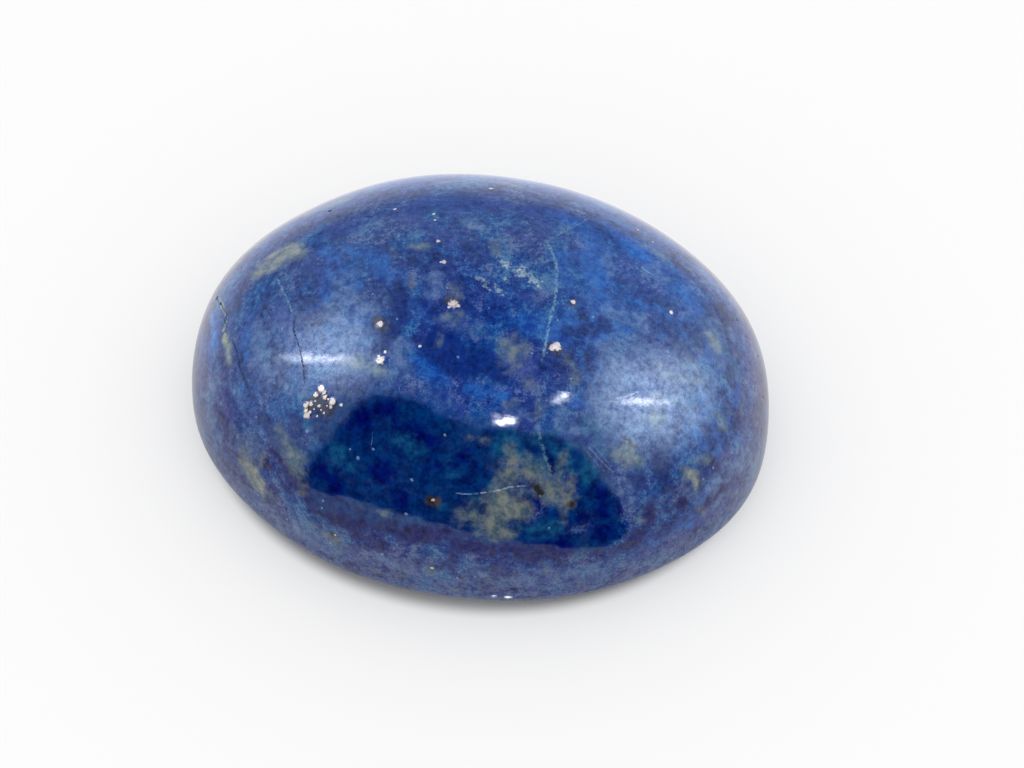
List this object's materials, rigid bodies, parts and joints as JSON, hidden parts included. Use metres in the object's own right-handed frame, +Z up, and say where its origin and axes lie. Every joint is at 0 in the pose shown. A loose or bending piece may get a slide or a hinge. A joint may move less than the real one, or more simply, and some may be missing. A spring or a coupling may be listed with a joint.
{
  "type": "polished lapis lazuli cabochon",
  "caption": "Oval domed lapis lazuli cabochon with a flat base, deep blue with grey calcite clouds and pyrite flecks.",
  "frame": {"origin": "middle of the flat base, at the centre of the outline", "axes": "+X along the length, +Y across, +Z up through the dome"},
  "size_m": [0.02, 0.016, 0.0072],
  "materials": {
    "lapis_stone": "polished to a wet gloss, mottled ultramarine with calcite clouds and pyrite flecks"
  },
  "bodies": {
    "root": {"lapis_cabochon": "lapis_stone"}
  },
  "joints": []
}
